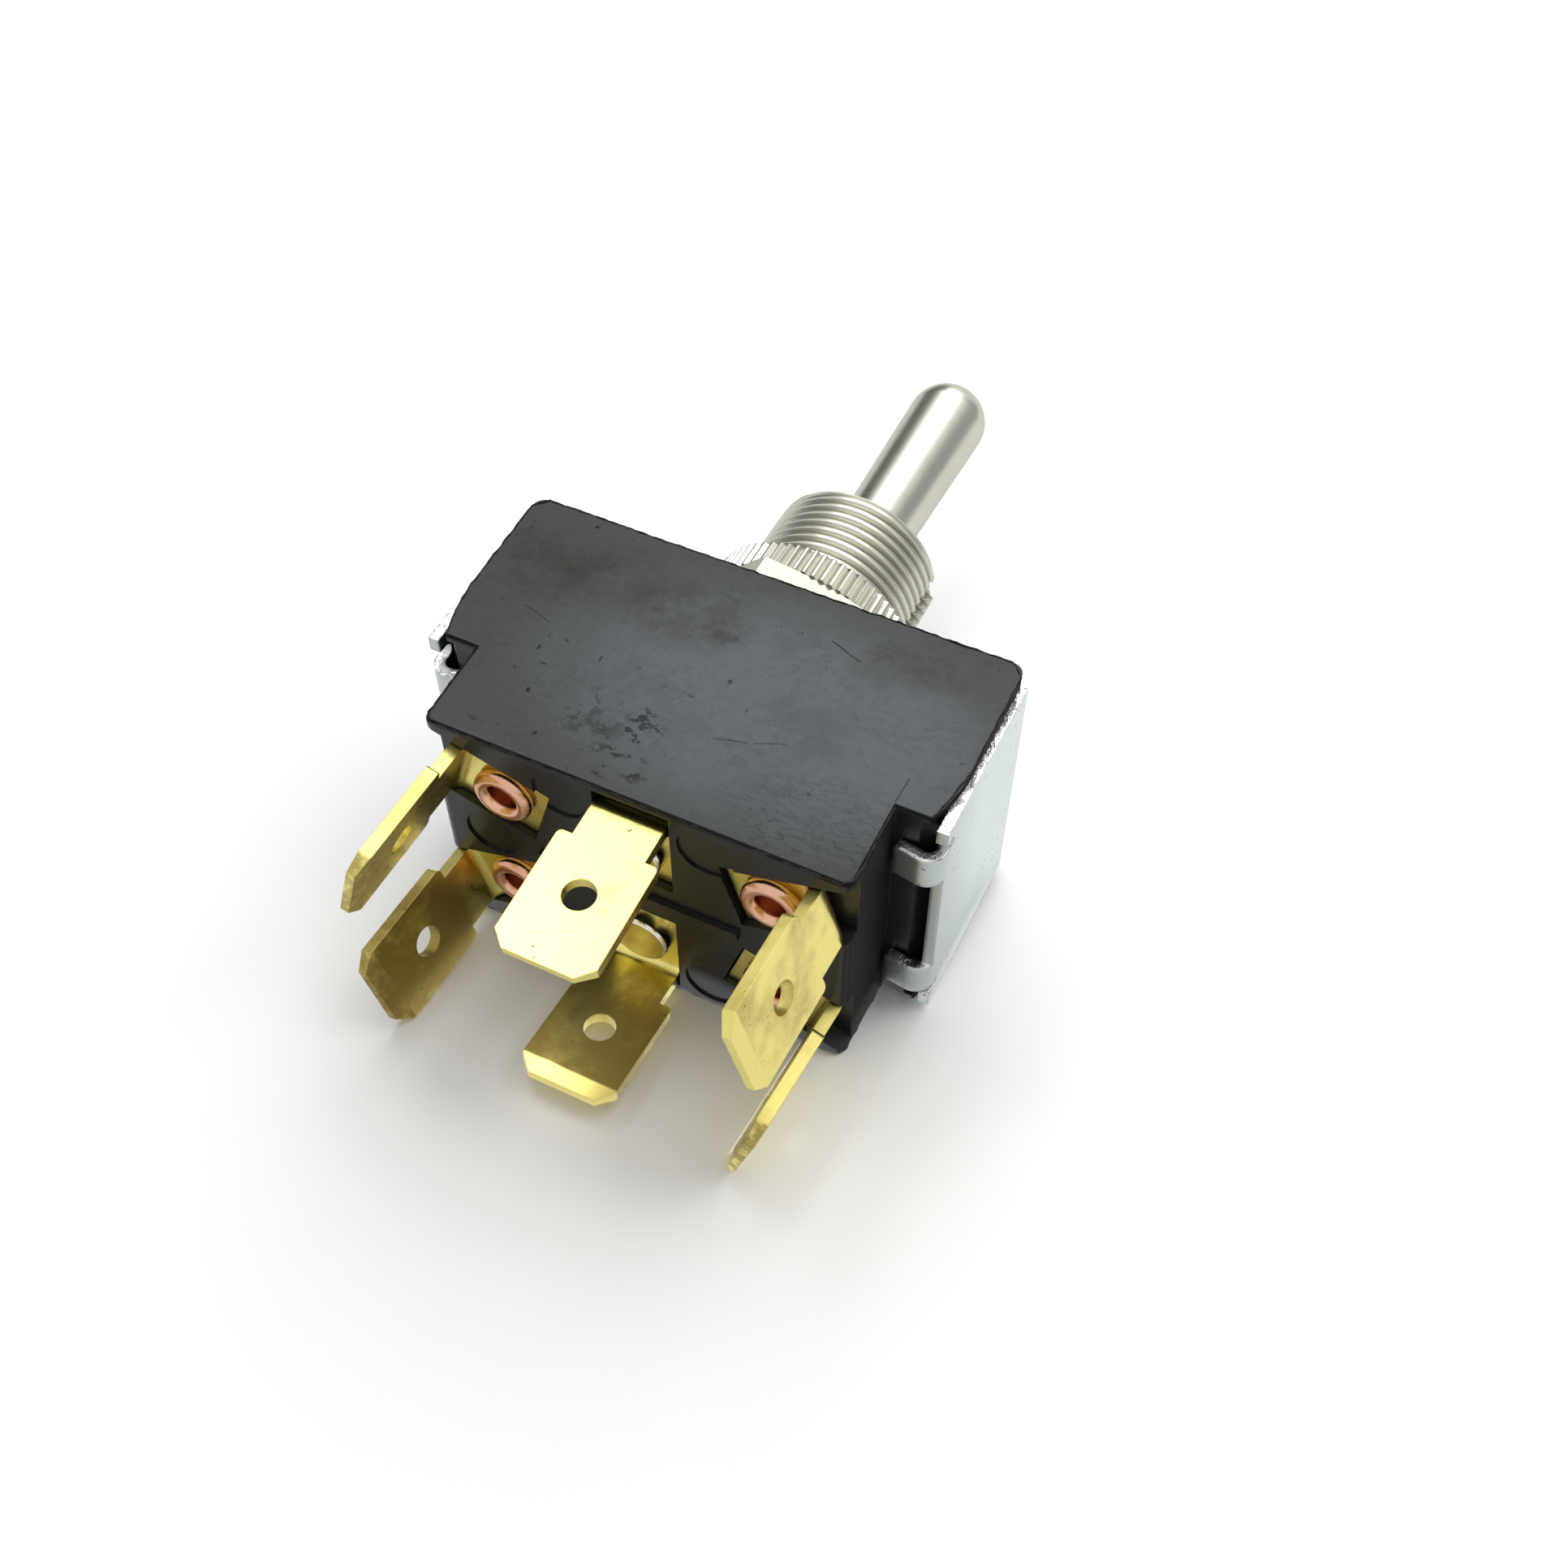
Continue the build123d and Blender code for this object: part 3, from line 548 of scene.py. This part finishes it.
# Painted shade: the inside of the bore is coloured a darker copper, for the shade in it.
bore_shade = ease(axes(place)[2], rim_level + 0.3 * MM, rim_level + 1.3 * MM)
copper_colour = tint(blush, (0.58, 0.29, 0.18, 1), (0.8, 0.5, 0.37, 1))
feed(shader, "Base Color", tint(bore_shade * 0.45, copper_colour, (0.42, 0.17, 0.09, 1)))
feed(shader, "Roughness", 0.16 + ripple * 0.14)
shader.inputs["Metallic"].default_value = 1
feed(shader, "Normal", relief(ripple, 0.02 * MM, soft))
dress(copper, "contact_rivets", "rocker_front", "rocker_back")

plated, shader, place = new_finish("plated_rivet_finish")
soft = rounded(place, 0.08 * MM)
ripple = grain(place, 1700, 3, 0.6)
blush = grain(place, 420, 3, 0.6)
# Painted reflection: faces that point down the axis are coloured brass gold, standing in for a warm
# reflection.
painted_reflection_face = ease(axes(true_normal(place))[2], -0.9, -0.98)
head_colour = tint(blush, (0.62, 0.58, 0.46, 1), (0.8, 0.77, 0.68, 1))
feed(shader, "Base Color", tint(painted_reflection_face * 0.85, head_colour, (0.66, 0.54, 0.2, 1)))
feed(shader, "Roughness", 0.1 + ripple * 0.1)
shader.inputs["Metallic"].default_value = 1
feed(shader, "Normal", relief(ripple, 0.003 * MM, soft))
dress(plated, "pivot_rivets")

# %% [markdown]
# Inside pieces.
# They are seen only when the case is opened, and still get the finish of what they are:
# drawn spring wire and a brown moulded block.

# %% Spring wire and moulded block
wire_steel, shader, place = new_finish("spring_wire_finish")
drawn = grain(place, 3000, 3, 0.6)
feed(shader, "Base Color", tint(drawn, (0.45, 0.45, 0.44, 1), (0.6, 0.6, 0.58, 1)))
feed(shader, "Roughness", 0.28 + drawn * 0.14)
shader.inputs["Metallic"].default_value = 1
dress(wire_steel, "spring_front", "spring_back", "lever_pin")

brown_block, shader, place = new_finish("brown_block_finish")
flecks = grain(place, 1200, 4, 0.65)
feed(shader, "Base Color", tint(flecks, (0.09, 0.05, 0.03, 1), (0.16, 0.1, 0.06, 1)))
feed(shader, "Roughness", 0.4 + flecks * 0.15)
feed(shader, "Normal", relief(flecks, 0.01 * MM, rounded(place, 0.08 * MM)))
dress(brown_block, "actuator_block", "plunger_front", "plunger_back")

# %% [markdown]
# The threaded bushing.
# CAD draws the thread as a row of plain grooves. Here the bushing's section is spun round the axis with
# close rows, and Geometry Nodes sinks a true helix between the crests: the groove's depth depends only on
# height and angle, so a rule does it better than a modelled screw. The same tree mills the keyway.

# %% Section of the bushing spun round its axis
CREST = 5.95
NUT_THREAD = 5.6
FLANGE = 6.6
RIM = 7.5
LEAD = 0.5
PITCH = 0.794
GROOVE = 0.45
BALL_ROOM = 3.7
PIVOT = 1.0
BORE_RIM = 4.164
BORE_NECK = (3.12, 2.987)
BOTTOM = -6.9
TAIL_ROOM = 3.974
TAIL_FLARE = -5.7
KEY_HALF_WIDTH = 0.9
KEY_FLOOR = 5.2
KEY_END = -5.1
FLANK = (0.04, 0.66)
CROWN = 0.06
COLUMNS = 240
ROWS_EACH_PITCH = 18


def spread(start, end, count):
    """Points from start up to, not with, end."""
    return [tuple(a + (b - a) * i / count for a, b in zip(start, end)) for i in range(count)]


thread_rows = round((RIM - LEAD) / PITCH * ROWS_EACH_PITCH)
shelf = BODY_TOP / MM
section = [(TAIL_ROOM, BOTTOM), (FLANGE, BOTTOM), (FLANGE, shelf), (NUT_THREAD, shelf), (NUT_THREAD, -0.02)]
section += spread((CREST, 0), (CREST, RIM - LEAD), thread_rows)
section += spread((CREST, RIM - LEAD), (CREST - LEAD, RIM), 8)
section += spread((CREST - LEAD, RIM), (BORE_RIM, RIM), 5)
section += spread((BORE_RIM, RIM), BORE_NECK, 4)
for step in range(6):
    swing = math.atan2(BORE_NECK[1] - PIVOT, BORE_NECK[0]) * (1 - step / 6)
    section.append((BALL_ROOM * math.cos(swing), PIVOT + BALL_ROOM * math.sin(swing)))
section += [(BALL_ROOM, PIVOT), (BALL_ROOM, TAIL_FLARE)]

points = []
for radius, level in section:
    for column in range(COLUMNS):
        angle = 2 * math.pi * column / COLUMNS
        points.append((radius * math.cos(angle) * MM, radius * math.sin(angle) * MM, level * MM))
faces = []
for row in range(len(section)):
    here, above = row * COLUMNS, (row + 1) % len(section) * COLUMNS
    for column in range(COLUMNS):
        beside = (column + 1) % COLUMNS
        faces.append((here + column, here + beside, above + beside, above + column))
spun_mesh = bpy.data.meshes.new("bushing_spun")
spun_mesh.from_pydata(points, [], faces)
spun = bpy.data.objects.new("bushing_spun", spun_mesh)
scene.collection.objects.link(spun)
print("spun bushing", len(section), "rows,", len(faces), "faces")


# %% Geometry Nodes: sink the thread groove and mill the keyway
SOCKET_KINDS = {bpy.types.Material: "NodeSocketMaterial", bpy.types.Object: "NodeSocketObject"}


def new_tree(name, sizes, with_geometry=True):
    """A Geometry Nodes tree with named inputs: the tree and a wire for each input."""
    tree = bpy.data.node_groups.new(name, "GeometryNodeTree")
    if with_geometry:
        tree.interface.new_socket("Geometry", in_out="INPUT", socket_type="NodeSocketGeometry")
    tree.interface.new_socket("Geometry", in_out="OUTPUT", socket_type="NodeSocketGeometry")
    for size, value in sizes.items():
        kind = SOCKET_KINDS.get(type(value), "NodeSocketFloat")
        tree.interface.new_socket(size, in_out="INPUT", socket_type=kind)
    inlet = tree.nodes.new("NodeGroupInput")
    return tree, {socket.name: Wire(tree, socket) for socket in inlet.outputs if socket.name}


def run_tree(tree, result, source, sizes, name):
    """Close the tree, run it on an object and return the result as a plain mesh object."""
    outlet = tree.nodes.new("NodeGroupOutput")
    tree.links.new(result.socket, outlet.inputs["Geometry"])
    modifier = source.modifiers.new(tree.name, "NODES")
    modifier.node_group = tree
    for item in tree.interface.items_tree:
        if item.in_out == "INPUT" and item.name in sizes:
            modifier[item.identifier] = sizes[item.name]
    evaluated = source.evaluated_get(bpy.context.evaluated_depsgraph_get())
    mesh = bpy.data.meshes.new_from_object(evaluated)
    mesh.name = name
    piece = bpy.data.objects.new(name, mesh)
    scene.collection.objects.link(piece)
    source.modifiers.remove(modifier)
    bpy.data.objects.remove(source)
    print(name, len(mesh.polygons), "faces")
    return piece


thread_sizes = {
    "Pitch": PITCH * MM,
    "Groove": GROOVE * MM,
    "Outside": (CREST - LEAD - 0.02) * MM,
    "Key half width": KEY_HALF_WIDTH * MM,
    "Key floor": KEY_FLOOR * MM,
    "Finish": nickel,
}
tree, size = new_tree("thread_and_keyway", thread_sizes)
at = size["Geometry"].add("GeometryNodeInputPosition", {}, {})
px, py, pz = axes(at)
angle = px.math("ARCTAN2", py, px) * (1 / (2 * math.pi))
radius = px.math("SQRT", px * px + py * py)
wave = px.math("PINGPONG", px.math("DIVIDE", pz, size["Pitch"]) - angle + 100.0, 0.5) * 2.0
flank = ease(wave, *FLANK)
threaded = px.math("GREATER_THAN", radius, size["Outside"]) * px.math("GREATER_THAN", pz, -0.01 * MM)
crown = (1 - wave) * (1 - wave) * (CROWN * MM)
crest_left = px.math("MAXIMUM", size["Groove"] * (1 - flank) + crown - (CREST * MM - radius), 0.0)
shrink = 1 - px.math("DIVIDE", threaded * crest_left, radius)
in_key = px.math("LESS_THAN", abs(py), size["Key half width"])
in_key = in_key * px.math("GREATER_THAN", px, size["Outside"] * 0.8)
in_key = in_key * px.math("GREATER_THAN", pz, KEY_END * MM)
new_x = px * shrink
new_x = new_x + in_key * (px.math("MINIMUM", new_x, size["Key floor"]) - new_x)
moved = px.add("ShaderNodeCombineXYZ", {}, {0: new_x, 1: py * shrink, 2: pz})
shaped = px.add("GeometryNodeSetPosition", {}, {"Geometry": size["Geometry"], "Position": moved})
smooth = px.add("GeometryNodeSetShadeSmooth", {}, {"Geometry": shaped, "Shade Smooth": True})
whole = px.add("GeometryNodeRealizeInstances", {}, {"Geometry": smooth})
whole = px.add("GeometryNodeSetMaterial", {}, {"Geometry": whole, "Material": size["Finish"]})
threaded_bushing = run_tree(tree, whole, spun, thread_sizes, "threaded_bushing")
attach(threaded_bushing, "case")
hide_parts("bushing")

# %% [markdown]
# Moulding flash.
# Where the mould's halves meet the body's edges, a little resin squeezes out and breaks off ragged.
# It follows the outline of the broad faces, so Geometry Nodes snaps that outline onto the body
# and sweeps a thin uneven bead along it.

# %% Ragged bead along the edges of the broad faces
BODY_HALF = 16.45
TOP_HALF_WIDTH = 9.9
BODY_BOTTOM = -24.1
SHOULDER = -18.2
LOWER_HALF = 13.6
CORNER = 0.8
FOOT_CORNER = 0.65
LIP = ((15.7, SHOULDER + 0.1), (16.15, -16.2), (BODY_HALF, -14.0))


def broad_edge(side):
    """Points along a broad face's outline, in metres."""
    top = BODY_TOP / MM
    foot_x, foot_z = LOWER_HALF - FOOT_CORNER, BODY_BOTTOM + FOOT_CORNER
    outline = [(-LOWER_HALF, SHOULDER), (-LOWER_HALF, foot_z), (-foot_x, BODY_BOTTOM)]
    outline += [(foot_x, BODY_BOTTOM), (LOWER_HALF, foot_z), (LOWER_HALF, SHOULDER)]
    upper = [(-across, level) for across, level in LIP]
    upper += [(-BODY_HALF, top - CORNER), (-BODY_HALF + CORNER, top)]
    upper += [(BODY_HALF - CORNER, top), (BODY_HALF, top - CORNER)]
    upper += reversed(LIP)
    runs = []
    for run in (outline, upper):
        depths = [side * (TOP_HALF_WIDTH - (top - level) * DRAFT_SLOPE) for _, level in run]
        runs.append([(a * MM, depth * MM, level * MM) for (a, level), depth in zip(run, depths)])
    return runs


edge_points = []
edge_pairs = []
for side in (-1, 1):
    for run in broad_edge(side):
        first = len(edge_points)
        edge_points += run
        edge_pairs += [(first + i, first + i + 1) for i in range(len(run) - 1)]
outline_mesh = bpy.data.meshes.new("flash_outline")
outline_mesh.from_pydata(edge_points, edge_pairs, [])
flash_outline = bpy.data.objects.new("flash_outline", outline_mesh)
scene.collection.objects.link(flash_outline)

flash_sizes = {
    "Spacing": 0.12 * MM,
    "Bead": 0.06 * MM,
    "Wander": 0.24 * MM,
    "Roughness": 1300.0,
    "Finish": phenolic,
    "Body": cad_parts["base_housing"],
}
tree, size = new_tree("moulding_flash", flash_sizes)
line = size["Geometry"].add("GeometryNodeMeshToCurve", {}, {"Mesh": size["Geometry"]})
line = line.add("GeometryNodeResampleCurve", {"mode": "LENGTH"}, {"Curve": line, "Length": size["Spacing"]})
own_space = {"transform_space": "ORIGINAL"}
body = line.add("GeometryNodeObjectInfo", own_space, {"Object": size["Body"]}, out="Geometry")
nearest = line.add("GeometryNodeProximity", {"target_element": "FACES"}, {0: body}, out="Position")
line = line.add("GeometryNodeSetPosition", {}, {"Geometry": line, "Position": nearest})
ragged = {"Scale": size["Roughness"], "Detail": 3.0}
shake = line.add("ShaderNodeTexNoise", {"noise_dimensions": "3D"}, ragged, out="Color")
centred = line.add("ShaderNodeVectorMath", {"operation": "SUBTRACT"}, {0: shake, 1: (0.5, 0.5, 0.5)})
offset = line.add("ShaderNodeVectorMath", {"operation": "SCALE"}, {0: centred, "Scale": size["Wander"]})
line = line.add("GeometryNodeSetPosition", {}, {"Geometry": line, "Offset": offset})
uneven = {"Scale": size["Roughness"] * 0.6, "Detail": 2.0}
thick = line.add("ShaderNodeTexNoise", {"noise_dimensions": "3D"}, uneven)
line = line.add("GeometryNodeSetCurveRadius", {}, {"Curve": line, "Radius": ease(thick, 0.3, 0.75) + 0.15})
circle = {"Resolution": 6, "Radius": size["Bead"]}
ring = line.add("GeometryNodeCurvePrimitiveCircle", {"mode": "RADIUS"}, circle)
bead = line.add("GeometryNodeCurveToMesh", {}, {"Curve": line, "Profile Curve": ring, "Fill Caps": True})
bead = line.add("GeometryNodeRealizeInstances", {}, {"Geometry": bead})
bead = line.add("GeometryNodeSetMaterial", {}, {"Geometry": bead, "Material": size["Finish"]})
moulding_flash = run_tree(tree, bead, flash_outline, flash_sizes, "moulding_flash")
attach(moulding_flash, "case")

# %% [markdown]
# Plunger springs.
# A rigid coil would cut into its plunger when the plunger slides. Each spring is swept here
# along a spiral, which is a rule for Geometry Nodes, and hung on the lever's body in place of the CAD spring.

# %% Coil springs swept along a spiral
COIL_TURNS = 4
WIRE = 0.2 * MM

for pole in ("front", "back"):
    low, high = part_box("spring_" + pole)
    length = high[2] - low[2]
    spring_sizes = {
        "Turns": float(COIL_TURNS),
        "Coil": (high[0] - low[0]) / 2 - WIRE,
        "Length": length - 2 * WIRE,
        "Wire": WIRE,
        "Across": (low[1] + high[1]) / 2,
        "Level": low[2] + WIRE,
        "Finish": wire_steel,
    }
    empty = bpy.data.objects.new("spring_seat", bpy.data.meshes.new("spring_seat"))
    scene.collection.objects.link(empty)
    tree, size = new_tree("plunger_spring", spring_sizes, with_geometry=False)
    spiral = {
        "Resolution": 32,
        "Rotations": size["Turns"],
        "Start Radius": size["Coil"],
        "End Radius": size["Coil"],
        "Height": size["Length"],
    }
    line = size["Turns"].add("GeometryNodeCurveSpiral", {}, spiral)
    seat = line.add("ShaderNodeCombineXYZ", {}, {"Y": size["Across"], "Z": size["Level"]})
    line = line.add("GeometryNodeSetPosition", {}, {"Geometry": line, "Offset": seat})
    circle = {"Resolution": 10, "Radius": size["Wire"]}
    ring = line.add("GeometryNodeCurvePrimitiveCircle", {"mode": "RADIUS"}, circle)
    coil = line.add("GeometryNodeCurveToMesh", {}, {"Curve": line, "Profile Curve": ring, "Fill Caps": True})
    coil = line.add("GeometryNodeRealizeInstances", {}, {"Geometry": coil})
    coil = line.add("GeometryNodeSetMaterial", {}, {"Geometry": coil, "Material": size["Finish"]})
    spring = run_tree(tree, coil, empty, spring_sizes, "coil_spring_" + pole)
    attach(spring, "lever")
    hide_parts("spring_" + pole)
    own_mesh(spring)
